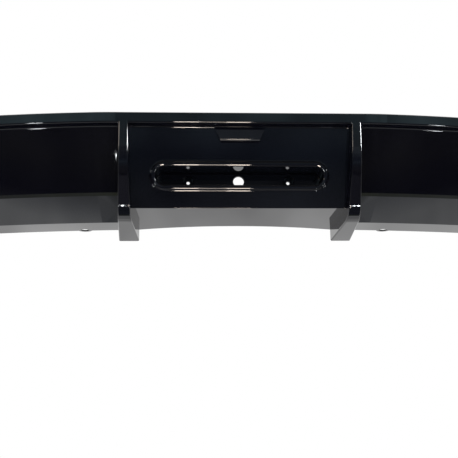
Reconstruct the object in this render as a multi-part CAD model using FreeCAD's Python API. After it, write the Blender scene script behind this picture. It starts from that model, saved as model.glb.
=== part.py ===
"""Rear bumper valance: one injection-moulded shell, open at the back.

Frame: +X to the right seen from behind the car, +Y forward into the car, +Z up. The origin is the middle
of the inner pair of top fixing holes, on the upper face of the top flange.

Each section is drawn as (depth, height): depth runs forward from the front edge of the band, height runs up
from the flange's upper face. A section is carried along the plan curve: straight across the middle, a short
bend beside each fin, and then a wide arc to the end.
The shell is an outer body less an inner body that lies one wall inside it.
"""
import FreeCAD, Part
import math
import os

# Overall size, millimetres and degrees
HALF_WIDTH = 620.0
WALL = 3.0

# Plan curve of the front edge
STRAIGHT_HALF_WIDTH = 156.0
BEND_RADIUS = 400.0
BEND_TURN = 4.2
SIDE_RADIUS = 1500.0

# Top flange and band
FLANGE_DEPTH = 30.0
BAND_HEIGHT = 13.0
BAND_TILT = 7.0
BAND_STEP = 17.0
TOP_EDGE_BREAK = 1.0
BAND_EDGE_RADIUS = 2.0
STEP_FILLET = 2.0

# Centre panel and the lip under it
PANEL_HEIGHT = 97.5
PANEL_TILT = 19.0
PANEL_EDGE_RADIUS = 0.5
LIP_DEPTH = 80.0
LIP_FALL = 3.2
LIP_ARC_RADIUS = 530.0

# Raised pad at the top of the centre panel
PAD_TOP_WIDTH = 67.5
PAD_BOTTOM_WIDTH = 51.0
PAD_HEIGHT = 16.0
PAD_TILT = 3.0
PAD_UNDERCUT = 28.0
PAD_EDGE_RADIUS = 0.9

# Insert pocket in the centre panel: a level slot with round ends. Its depth is from the panel's face
POCKET_LENGTH = 214.0
POCKET_HEIGHT = 21.6
POCKET_DEPTH = 24.0
POCKET_DROP = 59.0
POCKET_WALL = 2.4
POCKET_CORNER_BREAK = 1.5

# Round rim of the pocket, which stands square on the leaning panel
RIM_WALL = 6.0
RIM_HEIGHT = 5.2
RIM_EDGE_RADIUS = 2.0
RIM_MOUTH_RADIUS = 3.0
RIM_FILLET = 2.6

# Holes in the pocket's back wall
INSERT_SCREW_SPACING = 131.0
INSERT_SCREW_DIAMETER = 4.4
INSERT_SEAT_DIAMETER = 13.0
INSERT_SEAT_DEPTH = 7.0
INSERT_SEAT_BREAK = 1.2
FEED_HOLE_DIAMETER = 14.0

# Side wings: panel, narrow facet, sloped face and level strip
WING_PANEL_HEIGHT = 76.8
WING_PANEL_TILT = 23.6
WING_FACET_HEIGHT = 3.2
WING_FACET_DEPTH = 4.6
WING_SLOPE_HEIGHT = 25.5
WING_SLOPE_DEPTH = 40.0
WING_STRIP_DEPTH = 44.0
END_EDGE_BREAK = 1.0

# Fins, flush with the band and hanging below the wings, each just inside the end of the straight middle
FIN_TO_BEND = 10.0
FIN_FRONT_WIDTH = 11.4
FIN_DRAFT = 3.2
FIN_DEPTH = 143.0
FIN_DROP = 120.0
FIN_NOSE_TILT = 27.0
FIN_NOSE_HEIGHT = 48.0
FIN_FALL = 3.9
FIN_BEND_RADIUS = 105.0
FIN_ROLL_RADIUS = 30.0
FIN_EDGE_RADIUS = 1.8

# Fixing holes
TOP_HOLE_SPACINGS = (220.0, 640.0, 1040.0)
TOP_HOLE_DIAMETER = 6.5
TOP_HOLE_SETBACK = 20.0
STRIP_HOLE_SPACING = 412.0
STRIP_HOLE_DIAMETER = 11.0
STRIP_HOLE_SETBACK = 3.0
STRIP_TAB_RADIUS = 9.5
STRIP_TAB_THICKNESS = 1.6

# Corners of the inner side are left sharp up to this outer radius
ROUNDED_INSIDE = 10.0

# The most of the width beside it that a rounding may take
ROUNDING_SHARE = 0.8

# How far a cutting body runs past what it cuts
OVERRUN = 20.0

# How near two points count as one, and how near a point counts as on a face
SAME_POINT = 1e-6
ON_FACE = 1e-3

RIGHT = FreeCAD.Vector(1, 0, 0)
FORWARD = FreeCAD.Vector(0, 1, 0)
UP = FreeCAD.Vector(0, 0, 1)


def tan(degrees):
    return math.tan(math.radians(degrees))


def vector(depth, height):
    """A point of a section, in the plane X = 0."""
    return FreeCAD.Vector(0, depth, height)


def edge_middle(edge):
    return edge.valueAt((edge.FirstParameter + edge.LastParameter) / 2)


# Section geometry


def corner_arc(before, corner, after, radius):
    """Start, middle and end of the arc that rounds a corner."""
    to_before = (before - corner).normalize()
    to_after = (after - corner).normalize()
    half = to_before.getAngle(to_after) / 2
    setback = radius / math.tan(half)
    bisector = (to_before + to_after).normalize()
    centre = corner + bisector * (radius / math.sin(half))
    middle = centre - bisector * radius
    return corner + to_before * setback, middle, corner + to_after * setback


def corner_break(before, corner, after, setback):
    """Start and end of the flat that breaks a corner."""
    start = corner + (before - corner).normalize() * setback
    end = corner + (after - corner).normalize() * setback
    return start, end


def section(points):
    """A closed face through (depth, height, radius) points. A radius below zero is the setback of a flat."""
    corners = [vector(depth, height) for depth, height, _ in points]
    stops = []
    roundings = []
    for i, (_, _, radius) in enumerate(points):
        before = corners[i - 1]
        after = corners[(i + 1) % len(corners)]
        start = end = corners[i]
        rounding = None
        if radius > 0:
            start, middle, end = corner_arc(before, corners[i], after, radius)
            rounding = Part.Arc(start, middle, end).toShape()
        elif radius < 0:
            start, end = corner_break(before, corners[i], after, -radius)
            rounding = Part.LineSegment(start, end).toShape()
        roundings.append(rounding)
        stops.append((start, end))
    edges = []
    for i, rounding in enumerate(roundings):
        if rounding is not None:
            edges.append(rounding)
        leave = stops[i][1]
        reach = stops[(i + 1) % len(stops)][0]
        if leave.distanceToPoint(reach) > SAME_POINT:
            edges.append(Part.LineSegment(leave, reach).toShape())
    return Part.Face(Part.Wire(edges))


def inset(points, gap):
    """The run of points moved inwards by a wall, to the left of the run. Only wide bends stay round."""
    moved = []
    for i, (depth, height, radius) in enumerate(points):
        here = vector(depth, height)
        into = here - vector(*points[max(i - 1, 0)][:2])
        out = vector(*points[min(i + 1, len(points) - 1)][:2]) - here
        if i == 0:
            into = out
        if i == len(points) - 1:
            out = into
        side_in = vector(-into.z, into.y).normalize()
        side_out = vector(-out.z, out.y).normalize()
        shift = (side_in + side_out) * (gap / (1 + side_in.dot(side_out)))
        inner_radius = radius - gap if radius > ROUNDED_INSIDE else 0.0
        moved.append((depth + shift.y, height + shift.z, inner_radius))
    return moved


# Plan curve


TURN = math.radians(BEND_TURN)
BEND_CENTRE = FreeCAD.Vector(STRAIGHT_HALF_WIDTH, BEND_RADIUS, 0)
SIDE_CENTRE = BEND_CENTRE + FreeCAD.Vector(math.sin(TURN), -math.cos(TURN), 0) * (BEND_RADIUS - SIDE_RADIUS)
END_ANGLE = math.asin((HALF_WIDTH - SIDE_CENTRE.x) / SIDE_RADIUS)


def plan_point(x, depth):
    """The point at a distance x from the middle that lies a depth inside the front edge."""
    if x <= STRAIGHT_HALF_WIDTH:
        return FreeCAD.Vector(x, depth, 0)
    centre = BEND_CENTRE
    reach = BEND_RADIUS - depth
    if x > centre.x + reach * math.sin(TURN):
        centre = SIDE_CENTRE
        reach = SIDE_RADIUS - depth
    return FreeCAD.Vector(x, centre.y - math.sqrt(reach**2 - (x - centre.x) ** 2), 0)


def along_side(face, start_x, end_angle):
    """A section carried along the right-hand side of the plan curve, to a heading on its wide arc."""
    place = face.copy()
    place.translate(FreeCAD.Vector(start_x, 0, 0))
    straight = place.extrude(FreeCAD.Vector(STRAIGHT_HALF_WIDTH - start_x, 0, 0))
    place.translate(FreeCAD.Vector(STRAIGHT_HALF_WIDTH - start_x, 0, 0))
    bend = place.revolve(BEND_CENTRE, UP, BEND_TURN)
    place.rotate(BEND_CENTRE, UP, BEND_TURN)
    side = place.revolve(SIDE_CENTRE, UP, math.degrees(end_angle - TURN))
    return straight.fuse([bend, side]).removeSplitter()


def mirrored(shape):
    return shape.mirror(FreeCAD.Vector(0, 0, 0), RIGHT)


def both_sides(shape):
    return [shape, mirrored(shape)]


def across(face, half_width):
    """A section carried straight across the middle."""
    moved = face.copy()
    moved.translate(FreeCAD.Vector(-half_width, 0, 0))
    return moved.extrude(FreeCAD.Vector(2 * half_width, 0, 0))


# Levels and depths that several features share

FIN_X = STRAIGHT_HALF_WIDTH - FIN_TO_BEND
BAND_FOOT_DEPTH = BAND_HEIGHT * tan(BAND_TILT)
WING_PANEL_FOOT_DEPTH = BAND_STEP + WING_PANEL_HEIGHT * tan(WING_PANEL_TILT)
WING_PANEL_FOOT_LEVEL = -(BAND_HEIGHT + WING_PANEL_HEIGHT)
WING_SLOPE_START = WING_PANEL_FOOT_DEPTH + WING_FACET_DEPTH
WING_FLOOR = WING_PANEL_FOOT_LEVEL - WING_FACET_HEIGHT - WING_SLOPE_HEIGHT
WING_BACK = WING_SLOPE_START + WING_SLOPE_DEPTH + WING_STRIP_DEPTH
PANEL_FOOT_DEPTH = BAND_STEP + PANEL_HEIGHT * tan(PANEL_TILT)
PANEL_FOOT_LEVEL = -(BAND_HEIGHT + PANEL_HEIGHT)
LIP_BACK = PANEL_FOOT_DEPTH + LIP_DEPTH
BACK_LIMIT = max(WING_BACK, LIP_BACK, FIN_DEPTH) + 2 * OVERRUN
POCKET_LEVEL = -(BAND_HEIGHT + POCKET_DROP)

# Level inside the band where the centre panel and the hollow of a fin start
HEAD_LEVEL = -BAND_HEIGHT / 2


def panel_depth(level):
    """Depth of the centre panel's face at a level."""
    return BAND_STEP + (-BAND_HEIGHT - level) * tan(PANEL_TILT)


POCKET_BACK = panel_depth(POCKET_LEVEL) + POCKET_DEPTH

# The rim's own axis crosses the pocket's axis half way up the rim
PANEL_LEAN = math.radians(PANEL_TILT)
PANEL_OUT = FreeCAD.Vector(0, -math.cos(PANEL_LEAN), -math.sin(PANEL_LEAN))
PANEL_UP = FreeCAD.Vector(0, -math.sin(PANEL_LEAN), math.cos(PANEL_LEAN))
RIM_MIDDLE_DEPTH = panel_depth(POCKET_LEVEL) - RIM_HEIGHT / 2 / math.cos(PANEL_LEAN)
RIM_MIDDLE = FreeCAD.Vector(0, RIM_MIDDLE_DEPTH, POCKET_LEVEL)
RIM_LENGTH = POCKET_LENGTH + 2 * RIM_WALL
RIM_SPAN = POCKET_HEIGHT / math.cos(PANEL_LEAN) + 2 * RIM_WALL

SEAT_BACK = POCKET_BACK + INSERT_SEAT_DEPTH
SCREW_PLACES = (-INSERT_SCREW_SPACING / 2, INSERT_SCREW_SPACING / 2)


# Outer and inner bodies


def band_run():
    return [(0.0, 0.0, -TOP_EDGE_BREAK), (BAND_FOOT_DEPTH, -BAND_HEIGHT, BAND_EDGE_RADIUS)]


def shell_pair(run, back, carry_outer, carry_inner):
    """The outer body of a run, and the inner body that leaves the flange, the walls and an open back."""
    outer = carry_outer(section(run + [(back, 0.0, 0.0)]))
    flange_start = [(FLANGE_DEPTH, 0.0, 0.0)]
    inner_run = inset(flange_start + run, WALL)
    past = back + 2 * OVERRUN
    floor = inner_run[-1][1] - (past - inner_run[-1][0]) * end_slope(run)
    inner_run[-1] = (past, floor, 0.0)
    inner = carry_inner(section(inner_run + [(past, OVERRUN, 0.0), (FLANGE_DEPTH, OVERRUN, 0.0)]))
    return outer, inner


def end_slope(run):
    """Fall per unit of depth of the last stretch of a run."""
    (depth, height, _), (last_depth, last_height, _) = run[-2:]
    return (height - last_height) / (last_depth - depth)


def wing_pair():
    run = band_run() + [
        (BAND_STEP, -BAND_HEIGHT, STEP_FILLET),
        (WING_PANEL_FOOT_DEPTH, WING_PANEL_FOOT_LEVEL, 0.0),
        (WING_SLOPE_START, WING_PANEL_FOOT_LEVEL - WING_FACET_HEIGHT, 0.0),
        (WING_SLOPE_START + WING_SLOPE_DEPTH, WING_FLOOR, 0.0),
        (WING_BACK, WING_FLOOR, 0.0),
    ]
    outer, inner = shell_pair(
        run,
        WING_BACK,
        lambda face: along_side(face, FIN_X, END_ANGLE),
        lambda face: along_side(face, FIN_X, END_ANGLE - WALL / SIDE_RADIUS),
    )
    return break_end(outer), inner


def break_end(wing):
    """Break the edges of the end wall, apart from the one at the open back."""
    end_face = max(wing.Faces, key=lambda face: face.CenterOfMass.x)
    edges = []
    for edge in end_face.Edges:
        middle = edge_middle(edge)
        reach = math.hypot(middle.x - SIDE_CENTRE.x, middle.y - SIDE_CENTRE.y)
        if SIDE_RADIUS - reach < WING_BACK - WALL:
            edges.append(edge)
    return wing.makeChamfer(END_EDGE_BREAK, edges)


def band_pair():
    """The band between the fins; its foot runs back into the centre panel."""
    reach = FLANGE_DEPTH + WALL
    run = band_run() + [(reach, -BAND_HEIGHT, 0.0)]

    def carry(face):
        return across(face, FIN_X)

    return shell_pair(run, reach, carry, carry)


def centre_pair():
    """The flat centre panel and its lip; the lip's back edge is an arc."""
    back = BACK_LIMIT - OVERRUN
    lip_foot = (back, PANEL_FOOT_LEVEL - (back - PANEL_FOOT_DEPTH) * tan(LIP_FALL), 0.0)
    run = [
        (BAND_STEP, -BAND_HEIGHT, STEP_FILLET),
        (PANEL_FOOT_DEPTH, PANEL_FOOT_LEVEL, PANEL_EDGE_RADIUS),
        lip_foot,
    ]
    root = BAND_STEP - STEP_FILLET
    top = [(root, HEAD_LEVEL, 0.0), (root, -BAND_HEIGHT, 0.0)]
    outer = across(section(top + run + [(back, HEAD_LEVEL, 0.0)]), FIN_X)
    arc_centre = FreeCAD.Vector(0, LIP_BACK + LIP_ARC_RADIUS, -BACK_LIMIT)
    outer = outer.cut(Part.makeCylinder(LIP_ARC_RADIUS, 2 * BACK_LIMIT, arc_centre, UP))
    inner_run = inset(run, WALL)
    inner_top = HEAD_LEVEL + WALL
    lift = (inner_top - inner_run[0][1]) * tan(PANEL_TILT)
    inner_run[0] = (inner_run[0][0] - lift, inner_top, 0.0)
    past = back + OVERRUN
    inner_run[-1] = (past, inner_run[-1][1] - (past - inner_run[-1][0]) * tan(LIP_FALL), 0.0)
    flange_back = FLANGE_DEPTH + WALL
    ceiling = [(past, OVERRUN, 0.0), (flange_back, OVERRUN, 0.0), (flange_back, inner_top, 0.0)]
    return outer, across(section(inner_run + ceiling), FIN_X)


def fin_wedge(half_width):
    """The fin's plan, a wedge that widens forward, as an upright prism."""
    widen = tan(FIN_DRAFT)
    outline = []
    for depth, sign in ((-OVERRUN, -1), (BACK_LIMIT, -1), (BACK_LIMIT, 1), (-OVERRUN, 1)):
        outline.append(FreeCAD.Vector(FIN_X + sign * (half_width + depth * widen), depth, -2 * BACK_LIMIT))
    return Part.Face(Part.makePolygon(outline + outline[:1])).extrude(UP * (4 * BACK_LIMIT))


def fin_run():
    """Front of the fin from the band down: a long bend, a nose and a rolled lower edge to the underside."""
    foot_level = -(BAND_HEIGHT + FIN_DROP)
    nose_level = -(BAND_HEIGHT + FIN_NOSE_HEIGHT)
    nose_depth = -nose_level * tan(BAND_TILT)
    slope = tan(FIN_FALL)
    run_down = (nose_level - foot_level - (FIN_DEPTH - nose_depth) * slope) / (1 - tan(FIN_NOSE_TILT) * slope)
    roll_depth = nose_depth + run_down * tan(FIN_NOSE_TILT)
    roll_setback = FIN_ROLL_RADIUS * tan((90 - FIN_NOSE_TILT - FIN_FALL) / 2)
    room_above = math.hypot(nose_depth, nose_level) - TOP_EDGE_BREAK
    room_below = math.hypot(roll_depth - nose_depth, run_down) - roll_setback
    widest_bend = min(room_above, room_below) / tan((FIN_NOSE_TILT - BAND_TILT) / 2)
    return [
        (0.0, 0.0, -TOP_EDGE_BREAK),
        (nose_depth, nose_level, min(FIN_BEND_RADIUS, widest_bend)),
        (roll_depth, nose_level - run_down, FIN_ROLL_RADIUS),
        (FIN_DEPTH, foot_level, 0.0),
    ]


def fin_pair():
    run = fin_run()
    outer = across(section(run + [(FIN_DEPTH, 0.0, 0.0)]), 2 * FIN_X).common(fin_wedge(FIN_FRONT_WIDTH / 2))
    outer = round_fin(outer)
    inner_run = inset(run, WALL)
    past = BACK_LIMIT
    inner_run[-1] = (past, inner_run[-1][1] - (past - inner_run[-1][0]) * tan(FIN_FALL), 0.0)
    inner_run[0] = (-HEAD_LEVEL * tan(BAND_TILT) + WALL, HEAD_LEVEL, 0.0)
    inner = across(section(inner_run + [(past, HEAD_LEVEL, 0.0)]), 2 * FIN_X)
    inner = inner.common(fin_wedge(FIN_FRONT_WIDTH / 2 - WALL))
    return outer, inner


def round_fin(fin):
    """Round the edges where the fin's two sides meet its front and underside."""
    edges = []
    for face in fin.Faces:
        normal = face.normalAt(0, 0)
        if abs(normal.x) < abs(normal.y) + abs(normal.z):
            continue
        for edge in face.Edges:
            at_back = edge.BoundBox.YMin > FIN_DEPTH - ON_FACE
            at_top = edge.BoundBox.ZMin > -2 * TOP_EDGE_BREAK
            if not at_back and not at_top:
                edges.append(edge)
    return fin.makeFillet(FIN_EDGE_RADIUS, edges)


# Features of the centre panel


def stadium(length, height, front, back):
    """A slot-shaped block with round ends, centred on the pocket."""
    radius = height / 2
    reach = length / 2 - radius
    top = POCKET_LEVEL + radius
    bottom = POCKET_LEVEL - radius

    def at(x, z):
        return FreeCAD.Vector(x, front, z)

    edges = [
        Part.LineSegment(at(-reach, top), at(reach, top)).toShape(),
        Part.Arc(at(reach, top), at(reach + radius, POCKET_LEVEL), at(reach, bottom)).toShape(),
        Part.LineSegment(at(reach, bottom), at(-reach, bottom)).toShape(),
        Part.Arc(at(-reach, bottom), at(-reach - radius, POCKET_LEVEL), at(-reach, top)).toShape(),
    ]
    return Part.Face(Part.Wire(edges)).extrude(FORWARD * (back - front))


def forward_cylinder(diameter, x, front, back):
    """A round bar along +Y at the pocket's level."""
    start = FreeCAD.Vector(x, front, POCKET_LEVEL)
    return Part.makeCylinder(diameter / 2, back - front, start, FORWARD)


def edges_at_depth(shape, depth):
    found = []
    for edge in shape.Edges:
        box = edge.BoundBox
        if abs(box.YMin - depth) < ON_FACE and abs(box.YMax - depth) < ON_FACE:
            found.append(edge)
    return found


def on_slot(side, rise, length, height):
    """Whether a point lies on the wall of a slot, from its place beside and above the slot's middle."""
    off_end = max(abs(side) - (length - height) / 2, 0.0)
    return abs(math.hypot(off_end, rise) - height / 2) < ON_FACE


def pocket_hollow():
    hollow = stadium(POCKET_LENGTH, POCKET_HEIGHT, -OVERRUN, POCKET_BACK)
    return hollow.makeChamfer(POCKET_CORNER_BREAK, edges_at_depth(hollow, POCKET_BACK))


def rim(hollow):
    """The rim round the pocket's mouth: made upright, leaned onto the panel and opened by the hollow."""
    front = RIM_MIDDLE_DEPTH - RIM_HEIGHT / 2
    body = stadium(RIM_LENGTH, RIM_SPAN, front, front + RIM_HEIGHT + WALL / 2)
    body = body.makeFillet(RIM_EDGE_RADIUS, edges_at_depth(body, front))
    body.rotate(RIM_MIDDLE, RIGHT, PANEL_TILT)
    body = body.cut(hollow)
    mouth = []
    for edge in body.Edges:
        middle = edge_middle(edge)
        at_front = abs((middle - RIM_MIDDLE).dot(PANEL_OUT) - RIM_HEIGHT / 2) < ON_FACE
        if at_front and on_slot(middle.x, middle.z - POCKET_LEVEL, POCKET_LENGTH, POCKET_HEIGHT):
            mouth.append(edge)
    widest = ROUNDING_SHARE * (RIM_WALL - RIM_EDGE_RADIUS)
    return body.makeFillet(min(RIM_MOUTH_RADIUS, widest), mouth)


def rim_base_edges(shell):
    """Where the rim's outer wall meets the face of the centre panel."""
    found = []
    for edge in shell.Edges:
        offset = edge_middle(edge) - RIM_MIDDLE
        on_panel = abs(offset.dot(PANEL_OUT) + RIM_HEIGHT / 2) < ON_FACE
        if on_panel and on_slot(offset.x, offset.dot(PANEL_UP), RIM_LENGTH, RIM_SPAN):
            found.append(edge)
    return found


def pocket_walls(hollow):
    """The pocket's walls behind the panel, with a boss behind each screw seat."""
    high = POCKET_LEVEL + POCKET_HEIGHT
    low = POCKET_LEVEL - POCKET_HEIGHT
    behind_panel = section(
        [
            (panel_depth(high) + WALL / 2, high, 0.0),
            (panel_depth(low) + WALL / 2, low, 0.0),
            (BACK_LIMIT, low, 0.0),
            (BACK_LIMIT, high, 0.0),
        ]
    )
    length = POCKET_LENGTH + 2 * POCKET_WALL
    walls = stadium(length, POCKET_HEIGHT + 2 * POCKET_WALL, -OVERRUN, POCKET_BACK + WALL)
    walls = walls.common(across(behind_panel, length))
    bosses = []
    for x in SCREW_PLACES:
        start = POCKET_BACK + WALL / 2
        bosses.append(forward_cylinder(INSERT_SEAT_DIAMETER + 2 * WALL, x, start, SEAT_BACK + WALL))
    return walls.fuse(bosses).cut(hollow)


def pocket_holes():
    """The feed hole, and each screw's hole with its seat."""
    cuts = [forward_cylinder(FEED_HOLE_DIAMETER, 0.0, POCKET_BACK - WALL, POCKET_BACK + 2 * WALL)]
    seat_radius = INSERT_SEAT_DIAMETER / 2
    for x in SCREW_PLACES:
        mouth = FreeCAD.Vector(x, POCKET_BACK, POCKET_LEVEL)
        mouth_radius = seat_radius + INSERT_SEAT_BREAK
        cuts.append(Part.makeCone(mouth_radius, seat_radius, INSERT_SEAT_BREAK, mouth, FORWARD))
        cuts.append(forward_cylinder(INSERT_SEAT_DIAMETER, x, POCKET_BACK - WALL, SEAT_BACK))
        cuts.append(forward_cylinder(INSERT_SCREW_DIAMETER, x, POCKET_BACK, SEAT_BACK + 2 * WALL))
    return cuts


def pad():
    """The raised pad: flush with the panel at its top, standing out at its foot."""
    foot_level = -(BAND_HEIGHT + PAD_HEIGHT)
    face_foot = BAND_STEP + PAD_HEIGHT * tan(PAD_TILT)
    root = panel_depth(foot_level) + WALL / 2
    root_level = foot_level - (root - face_foot) * tan(PAD_UNDERCUT)
    head_level = -BAND_HEIGHT + WALL / 2
    side = section(
        [
            (BAND_STEP - (head_level + BAND_HEIGHT) * tan(PAD_TILT), head_level, 0.0),
            (face_foot, foot_level, 0.0),
            (root, root_level, 0.0),
            (root, head_level, 0.0),
        ]
    )
    block = across(side, PAD_TOP_WIDTH)
    spread = (PAD_TOP_WIDTH - PAD_BOTTOM_WIDTH) / 2 / PAD_HEIGHT
    outline = []
    for level, sign in ((-2 * PAD_HEIGHT, -1), (PAD_HEIGHT, -1), (PAD_HEIGHT, 1), (-2 * PAD_HEIGHT, 1)):
        half = PAD_TOP_WIDTH / 2 + level * spread
        outline.append(FreeCAD.Vector(sign * half, 0, level - BAND_HEIGHT))
    prism = Part.Face(Part.makePolygon(outline + outline[:1])).extrude(FORWARD * BACK_LIMIT)
    block = block.common(prism)
    front = min(block.Faces, key=lambda face: face.CenterOfMass.y)
    edges = [edge for edge in front.Edges if edge.BoundBox.ZMin < head_level - WALL / 2]
    return block.makeFillet(PAD_EDGE_RADIUS, edges)


# Fixing holes


def upright_bar(diameter, place, low, high):
    start = FreeCAD.Vector(place.x, place.y, low)
    return Part.makeCylinder(diameter / 2, high - low, start, UP)


def top_holes():
    bars = []
    for spacing in TOP_HOLE_SPACINGS:
        place = plan_point(spacing / 2, TOP_HOLE_SETBACK)
        bars += both_sides(upright_bar(TOP_HOLE_DIAMETER, place, -2 * WALL, WALL))
    return bars


def strip_bars(diameter, low, high):
    place = plan_point(STRIP_HOLE_SPACING / 2, WING_BACK - STRIP_HOLE_SETBACK)
    return both_sides(upright_bar(diameter, place, low, high))


def valance():
    wing_outer, wing_inner = wing_pair()
    band_outer, band_inner = band_pair()
    centre_outer, centre_inner = centre_pair()
    fin_outer, fin_inner = fin_pair()
    outer = band_outer.fuse(
        both_sides(wing_outer) + [centre_outer] + both_sides(fin_outer) + [pad()]
    ).removeSplitter()
    inner = band_inner.fuse(both_sides(wing_inner) + [centre_inner] + both_sides(fin_inner)).removeSplitter()
    hollow = pocket_hollow()
    shell = outer.cut([inner, hollow])
    tabs = strip_bars(2 * STRIP_TAB_RADIUS, WING_FLOOR, WING_FLOOR + STRIP_TAB_THICKNESS)
    shell = shell.fuse([rim(hollow), pocket_walls(hollow)] + tabs).removeSplitter()
    shell = shell.makeFillet(RIM_FILLET, rim_base_edges(shell))
    tab_seats = strip_bars(2 * STRIP_TAB_RADIUS, WING_FLOOR + STRIP_TAB_THICKNESS, WING_FLOOR + 2 * WALL)
    strip_holes = strip_bars(STRIP_HOLE_DIAMETER, WING_FLOOR - WALL, WING_FLOOR + 2 * WALL)
    return shell.cut(pocket_holes() + top_holes() + tab_seats + strip_holes).removeSplitter()


def main():
    shape = valance()
    row = plan_point(TOP_HOLE_SPACINGS[0] / 2, TOP_HOLE_SETBACK)
    shape.translate(FreeCAD.Vector(0, -row.y, 0))
    os.makedirs("parts", exist_ok=True)
    shape.exportStep("parts/valance.step")
    box = shape.BoundBox
    print("valance: solids", len(shape.Solids), "valid", shape.isValid(), "volume", round(shape.Volume))
    print("box", [round(v, 2) for v in (box.XMin, box.YMin, box.ZMin, box.XMax, box.YMax, box.ZMax)])
    print("fixing row depth", round(row.y, 3), "faces", len(shape.Faces))


main()
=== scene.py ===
"""Looks of the rear bumper valance: one gloss black moulding, seen from a little below in a studio.

Metres and degrees, in the part's own frame: +X to the right, +Y forward into the car, +Z up.
A drop is an angle about the X axis: 0 is level in front of the part, 90 straight down, -90 straight up
and 180 level behind it.
"""
import math

import bpy
from mathutils import Matrix, Vector

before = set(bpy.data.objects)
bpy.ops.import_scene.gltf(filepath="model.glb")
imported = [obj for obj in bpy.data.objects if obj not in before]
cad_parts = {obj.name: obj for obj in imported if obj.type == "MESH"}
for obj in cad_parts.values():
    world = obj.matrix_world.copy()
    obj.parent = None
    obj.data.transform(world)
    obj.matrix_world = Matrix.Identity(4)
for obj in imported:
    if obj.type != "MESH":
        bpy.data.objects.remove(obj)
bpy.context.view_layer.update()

WHITE = (1.0, 1.0, 1.0, 1.0)
NOISE_MEAN = 0.5

# Camera: its place, the way it looks to the right of +Y and above level, and its turn about that line
PHOTO_SIDE = 458
FOCAL_PIXELS = 833.0
SENSOR = 36.0
CAMERA_PLACE = (-0.0704, -0.9985, -0.3783)
CAMERA_HEADING = 3.15
CAMERA_RISE = 13.14
CAMERA_ROLL = 0.75

# Floor
FLOOR_LEVEL = -0.55
FLOOR_RADIUS = 3.0
FLOOR_SIDES = 96
FLOOR_FADE_START = 0.8
FLOOR_WHITE = 0.93

# Room: the plain level that lights the part, and what its gloss mirrors at each drop
ROOM_LEVEL = 1.0
ROOM_MIRRORED = [
    (-180, (0.77, 0.77, 0.77)),
    (-130, (1.0, 1.0, 1.0)),
    (-100, (1.0, 1.0, 1.0)),
    (-80, (0.08, 0.09, 0.10)),
    (-40, (0.08, 0.09, 0.10)),
    (-21, (0.04, 0.04, 0.05)),
    (-16.5, (0.05, 0.06, 0.07)),
    (-14.5, (0.18, 0.20, 0.24)),
    (-7, (0.20, 0.30, 0.33)),
    (-4.5, (0.20, 0.24, 0.26)),
    (8, (0.08, 0.10, 0.13)),
    (14, (0.04, 0.06, 0.09)),
    (18, (0.12, 0.16, 0.20)),
    (19.2, (0.04, 0.06, 0.09)),
    (22, (0.05, 0.06, 0.07)),
    (23.3, (0.10, 0.12, 0.14)),
    (25, (0.06, 0.06, 0.07)),
    (28, (0.05, 0.05, 0.055)),
    (30.3, (0.04, 0.04, 0.03)),
    (31.2, (0.015, 0.015, 0.02)),
    (33, (0.01, 0.01, 0.015)),
    (34.2, (0.13, 0.13, 0.14)),
    (38, (0.10, 0.10, 0.12)),
    (42, (0.10, 0.10, 0.12)),
    (60, (0.05, 0.06, 0.07)),
    (93, (0.04, 0.05, 0.06)),
    (94, (0.24, 0.26, 0.18)),
    (98, (0.26, 0.28, 0.23)),
    (100.6, (0.36, 0.38, 0.41)),
    (102.2, (0.97, 0.99, 1.0)),
    (130, (1.0, 1.0, 1.0)),
    (180, (0.77, 0.77, 0.77)),
]

# The mirrored room varies softly, and in front of the part it is brighter to the sides
ROOM_CLOUD_SCALE = 9.0
ROOM_CLOUD_DETAIL = 2.0
ROOM_CLOUD_BEHIND = 1.3
ROOM_CLOUD_IN_FRONT = 3.0
ROOM_SIDE_START = 0.15
ROOM_SIDE_END = 0.34
ROOM_SIDE_GAIN = 0.55
ROOM_SIDE_DROPS = (10, -4)

# Lights that the gloss mirrors: distance to the right of the middle, drop, width, height, brightness, colour
LIGHT_DISTANCE = 2.0
LIGHT_SPREAD = 0.6
WARM = (1.0, 0.86, 0.74)
COOL = (0.93, 0.97, 1.0)
LIGHTS = {
    "warm_left": (-0.0625, 51.5, 0.090, 0.42, 68, WARM),
    "warm_right": (0.126, 51.5, 0.083, 0.42, 68, WARM),
    "warm_between": (0.034, 51, 0.104, 0.28, 34, WARM),
    "wing_left": (-0.928, 50.5, 0.085, 0.28, 80, COOL),
    "wing_right": (1.117, 50.5, 0.060, 0.28, 80, COOL),
    "strip_right": (1.89, -29.5, 1.2, 0.052, 160, COOL),
    "strip_left": (-1.89, -29.5, 1.2, 0.10, 10, WARM),
    "spot_left": (-0.290, 49, 0.006, 0.30, 80, COOL),
    "spot_right": (0.527, 49, 0.005, 0.30, 56, COOL),
    "spot_right_outer": (0.543, 49, 0.005, 0.30, 80, COOL),
    "spot_wing": (-0.366, 30.4, 0.012, 0.009, 80, COOL),
}

# Finish: gloss on the show side, satin where a face looks back or up by more than these shares
BACK_FACING = 0.2
TOP_FACING = 0.6
PLASTIC_IOR = 1.58
GLOSS_BLACK = (0.0018, 0.0018, 0.0032)
GLOSS_ROUGHNESS = 0.03
GLOSS_SPREAD = 0.03
SATIN_BLACK = (0.012, 0.012, 0.012)
SATIN_ROUGHNESS = 0.38
SATIN_SPREAD = 0.12
CLOUD_SCALE = 14.0
CLOUD_DETAIL = 4.0
PEEL_SIZE = 0.004
PEEL_HEIGHT = 0.000002
PEEL_DETAIL = 1.0
GRAIN_SIZE = 0.0009
GRAIN_HEIGHT = 0.00006
GRAIN_DETAIL = 2.0


def aimed(looking, roll=0.0):
    """Rotation of a camera or light that looks along a vector, turned about it by a roll in degrees."""
    turn = Matrix.Rotation(math.radians(roll), 4, looking)
    return turn @ looking.to_track_quat("-Z", "Y").to_matrix().to_4x4()


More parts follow.
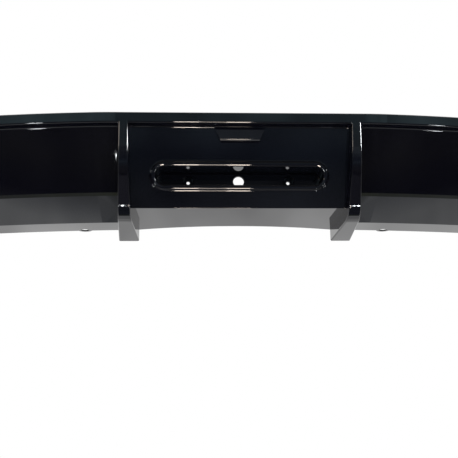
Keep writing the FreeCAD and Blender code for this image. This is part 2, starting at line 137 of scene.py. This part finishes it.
class Nodes:
    """Short calls that add and join nodes in one tree."""

    def __init__(self, tree):
        self.tree = tree
        tree.nodes.clear()

    def add(self, kind, inputs=None, **settings):
        """A node with its settings, and with its inputs set to a value or joined to a socket."""
        node = self.tree.nodes.new(kind)
        for name, value in settings.items():
            setattr(node, name, value)
        for name, value in (inputs or {}).items():
            if isinstance(value, bpy.types.NodeSocket):
                self.tree.links.new(value, node.inputs[name])
            else:
                node.inputs[name].default_value = value
        return node

    def math(self, operation, *values):
        return self.add("ShaderNodeMath", dict(enumerate(values)), operation=operation).outputs[0]

    def parts(self, vector):
        """The X, Y and Z sockets of a vector."""
        return self.add("ShaderNodeSeparateXYZ", {"Vector": vector}).outputs

    def noise(self, place, scale, detail):
        inputs = {"Vector": place, "Scale": scale, "Detail": detail}
        return self.add("ShaderNodeTexNoise", inputs).outputs["Fac"]

    def spread(self, noise, mean, width):
        """Noise made into a number that varies by a width about a mean."""
        return self.math("MULTIPLY_ADD", noise, width, mean - width * NOISE_MEAN)

    def mix(self, share, first, second):
        """A number that goes from the first to the second as the share rises."""
        return self.add("ShaderNodeMix", {0: share, 2: first, 3: second}).outputs[0]

    def mix_colour(self, share, first, second):
        """A colour that goes from the first to the second as the share rises."""
        inputs = {0: share, 6: (*first, 1.0), 7: (*second, 1.0)}
        return self.add("ShaderNodeMix", inputs, data_type="RGBA").outputs[2]

    def mix_shader(self, share, first, second):
        inputs = {0: share, 1: first.outputs[0], 2: second.outputs[0]}
        return self.add("ShaderNodeMixShader", inputs)

    def eased(self, value, start, end):
        """A smooth rise from 0 to 1 between two values."""
        inputs = {"Value": value, "From Min": start, "From Max": end}
        return self.add("ShaderNodeMapRange", inputs, interpolation_type="SMOOTHSTEP").outputs[0]

    def ramp(self, value, stops):
        """A colour ramp through (position, colour) stops."""
        node = self.add("ShaderNodeValToRGB", {"Fac": value})
        elements = node.color_ramp.elements
        while len(elements) < len(stops):
            elements.new(1.0)
        for element, (position, colour) in zip(elements, stops):
            element.position = position
            element.color = (*colour, 1.0)
        return node.outputs["Color"]


def make_camera():
    data = bpy.data.cameras.new("camera")
    data.sensor_width = SENSOR
    data.lens = SENSOR * FOCAL_PIXELS / PHOTO_SIDE
    camera = bpy.data.objects.new("camera", data)
    heading = math.radians(CAMERA_HEADING)
    rise = math.radians(CAMERA_RISE)
    level = math.cos(rise)
    looking = Vector((math.sin(heading) * level, math.cos(heading) * level, math.sin(rise)))
    camera.matrix_world = Matrix.Translation(CAMERA_PLACE) @ aimed(looking, CAMERA_ROLL)
    bpy.context.scene.collection.objects.link(camera)
    bpy.context.scene.camera = camera


def make_light(name, side, drop, width, height, brightness, colour):
    """A light that only gloss shows, so that the room alone sets the level."""
    reach = math.sqrt(LIGHT_DISTANCE**2 - side**2)
    angle = math.radians(drop)
    place = Vector((side, -reach * math.cos(angle), -reach * math.sin(angle)))
    data = bpy.data.lights.new(name, "AREA")
    data.shape = "RECTANGLE"
    data.size = width
    data.size_y = height
    data.energy = brightness * math.pi * width * height
    data.color = colour
    light = bpy.data.objects.new(name, data)
    faced = Vector((max(-LIGHT_SPREAD, min(side, LIGHT_SPREAD)), 0, 0))
    light.matrix_world = Matrix.Translation(place) @ aimed((faced - place).normalized())
    light.visible_camera = False
    light.visible_diffuse = False
    bpy.context.scene.collection.objects.link(light)


def make_room():
    """White behind the part, a plain level all round it, and a dark room mirrored in front."""
    world = bpy.data.worlds.new("room")
    world.use_nodes = True
    bpy.context.scene.world = world
    nodes = Nodes(world.node_tree)
    place = nodes.add("ShaderNodeTexCoord").outputs["Generated"]
    parts = nodes.parts(place)
    down = nodes.math("MULTIPLY", parts["Z"], -1.0)
    ahead = nodes.math("MULTIPLY", parts["Y"], -1.0)
    drop = nodes.math("ARCTAN2", down, ahead)
    turn = nodes.math("MULTIPLY_ADD", drop, 0.5 / math.pi, 0.5)
    mirrored = nodes.ramp(turn, [((angle + 180) / 360, colour) for angle, colour in ROOM_MIRRORED])
    cloud = nodes.noise(place, ROOM_CLOUD_SCALE, ROOM_CLOUD_DETAIL)
    share = nodes.add(
        "ShaderNodeMapRange", {"Value": ahead, "To Min": ROOM_CLOUD_BEHIND, "To Max": ROOM_CLOUD_IN_FRONT}
    ).outputs[0]
    varied = nodes.math("MULTIPLY_ADD", nodes.math("SUBTRACT", cloud, NOISE_MEAN), share, 1.0)
    aside = nodes.eased(nodes.math("ABSOLUTE", parts["X"]), ROOM_SIDE_START, ROOM_SIDE_END)
    in_front = nodes.eased(drop, *(math.radians(angle) for angle in ROOM_SIDE_DROPS))
    strength = nodes.math("MULTIPLY_ADD", nodes.math("MULTIPLY", aside, in_front), ROOM_SIDE_GAIN, varied)
    level = nodes.add("ShaderNodeBackground", {"Color": WHITE, "Strength": ROOM_LEVEL})
    glossy = nodes.add("ShaderNodeBackground", {"Color": mirrored, "Strength": strength})
    white = nodes.add("ShaderNodeBackground", {"Color": WHITE, "Strength": 1.0})
    rays = nodes.add("ShaderNodeLightPath").outputs
    bent = nodes.math("MAXIMUM", rays["Is Glossy Ray"], rays["Is Transmission Ray"])
    lit = nodes.mix_shader(bent, level, glossy)
    seen = nodes.mix_shader(rays["Is Camera Ray"], lit, white)
    nodes.add("ShaderNodeOutputWorld", {"Surface": seen.outputs[0]})


def make_floor():
    """A white floor that fades out at its rim and shows only from above."""
    bpy.ops.mesh.primitive_circle_add(
        vertices=FLOOR_SIDES, radius=FLOOR_RADIUS, fill_type="NGON", location=(0, 0, FLOOR_LEVEL)
    )
    floor = bpy.context.object
    floor.name = "floor"
    floor.visible_glossy = False
    floor.visible_shadow = False
    material = bpy.data.materials.new("floor_white")
    material.use_nodes = True
    nodes = Nodes(material.node_tree)
    spot = nodes.add("ShaderNodeTexCoord").outputs["Object"]
    reach = nodes.add("ShaderNodeVectorMath", {0: spot}, operation="LENGTH").outputs["Value"]
    fade = nodes.eased(reach, FLOOR_FADE_START, FLOOR_RADIUS)
    below = nodes.add("ShaderNodeNewGeometry").outputs["Backfacing"]
    gone = nodes.math("MAXIMUM", fade, below)
    matt = nodes.add("ShaderNodeBsdfDiffuse", {"Color": (FLOOR_WHITE, FLOOR_WHITE, FLOOR_WHITE, 1.0)})
    clear = nodes.add("ShaderNodeBsdfTransparent")
    mixed = nodes.mix_shader(gone, matt, clear)
    nodes.add("ShaderNodeOutputMaterial", {"Surface": mixed.outputs[0]})
    floor.data.materials.append(material)


def gloss_black():
    """High-gloss black moulding, with the satin skin of the mould's core on the hidden side."""
    material = bpy.data.materials.new("gloss_black")
    material.use_nodes = True
    nodes = Nodes(material.node_tree)
    place = nodes.add("ShaderNodeTexCoord").outputs["Object"]
    facing = nodes.parts(nodes.add("ShaderNodeNewGeometry").outputs["Normal"])
    back = nodes.math("GREATER_THAN", facing["Y"], BACK_FACING)
    top = nodes.math("GREATER_THAN", facing["Z"], TOP_FACING)
    hidden = nodes.math("MAXIMUM", back, top)
    cloud = nodes.noise(place, CLOUD_SCALE, CLOUD_DETAIL)
    gloss = nodes.spread(cloud, GLOSS_ROUGHNESS, GLOSS_SPREAD)
    satin = nodes.spread(cloud, SATIN_ROUGHNESS, SATIN_SPREAD)
    roughness = nodes.mix(hidden, gloss, satin)
    colour = nodes.mix_colour(hidden, GLOSS_BLACK, SATIN_BLACK)
    peel = nodes.math("MULTIPLY", nodes.noise(place, 1 / PEEL_SIZE, PEEL_DETAIL), PEEL_HEIGHT)
    grain = nodes.math("MULTIPLY", nodes.noise(place, 1 / GRAIN_SIZE, GRAIN_DETAIL), GRAIN_HEIGHT)
    height = nodes.mix(hidden, peel, grain)
    bump = nodes.add("ShaderNodeBump", {"Height": height, "Strength": 1.0, "Distance": 1.0}).outputs[0]
    skin = nodes.add(
        "ShaderNodeBsdfPrincipled",
        {"Base Color": colour, "Roughness": roughness, "IOR": PLASTIC_IOR, "Normal": bump},
    )
    nodes.add("ShaderNodeOutputMaterial", {"Surface": skin.outputs[0]})
    return material


def dress(valance):
    valance.data.materials.clear()
    valance.data.materials.append(gloss_black())


bpy.context.scene.view_settings.view_transform = "Standard"
make_camera()
make_room()
make_floor()
for name, settings in LIGHTS.items():
    make_light(name, *settings)
dress(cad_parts["valance"])
